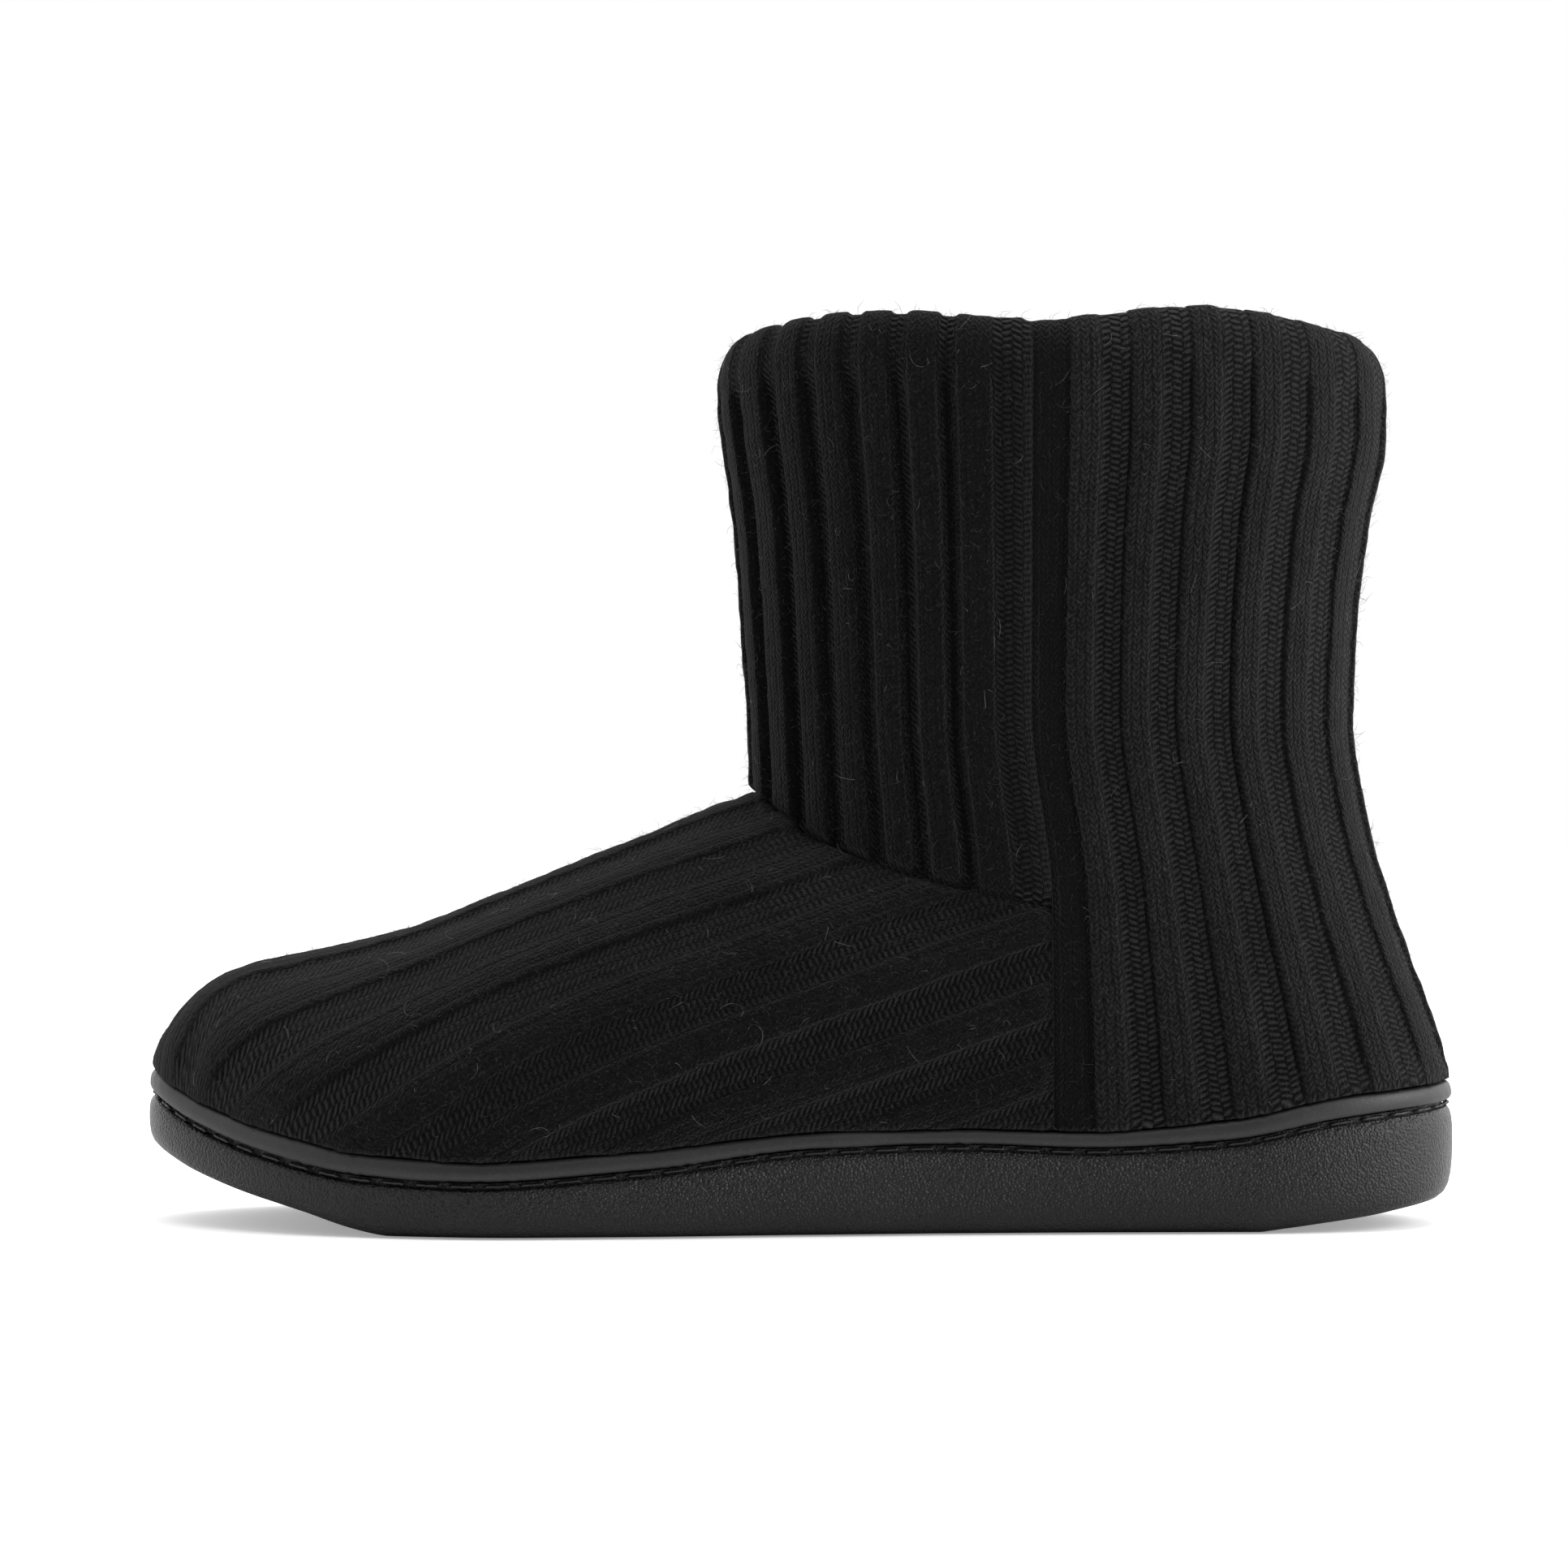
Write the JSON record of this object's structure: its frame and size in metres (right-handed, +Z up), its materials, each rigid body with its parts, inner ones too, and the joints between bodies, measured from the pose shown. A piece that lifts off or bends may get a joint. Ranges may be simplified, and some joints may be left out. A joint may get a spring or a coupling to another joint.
{
  "type": "knit slipper",
  "caption": "Ankle-high slipper boot of ribbed knit, with a turned-in collar, a rolled binding and a moulded rubber sole.",
  "frame": {"origin": "on the floor under the middle of the slipper's box", "axes": "+Z up, -X towards the toe, -Y towards the outer (little toe) side, +Y towards the inner side"},
  "size_m": [0.275, 0.1009, 0.1904],
  "materials": {
    "upper": "soft brushed rib knit, matt",
    "binding": "smooth satin imitation leather",
    "outsole": "pebble-grained moulded rubber, satin",
    "insole": "short plush over foam"
  },
  "bodies": {
    "root": {"upper": "upper", "binding": "binding", "outsole": "outsole", "insole": "insole"}
  },
  "joints": []
}
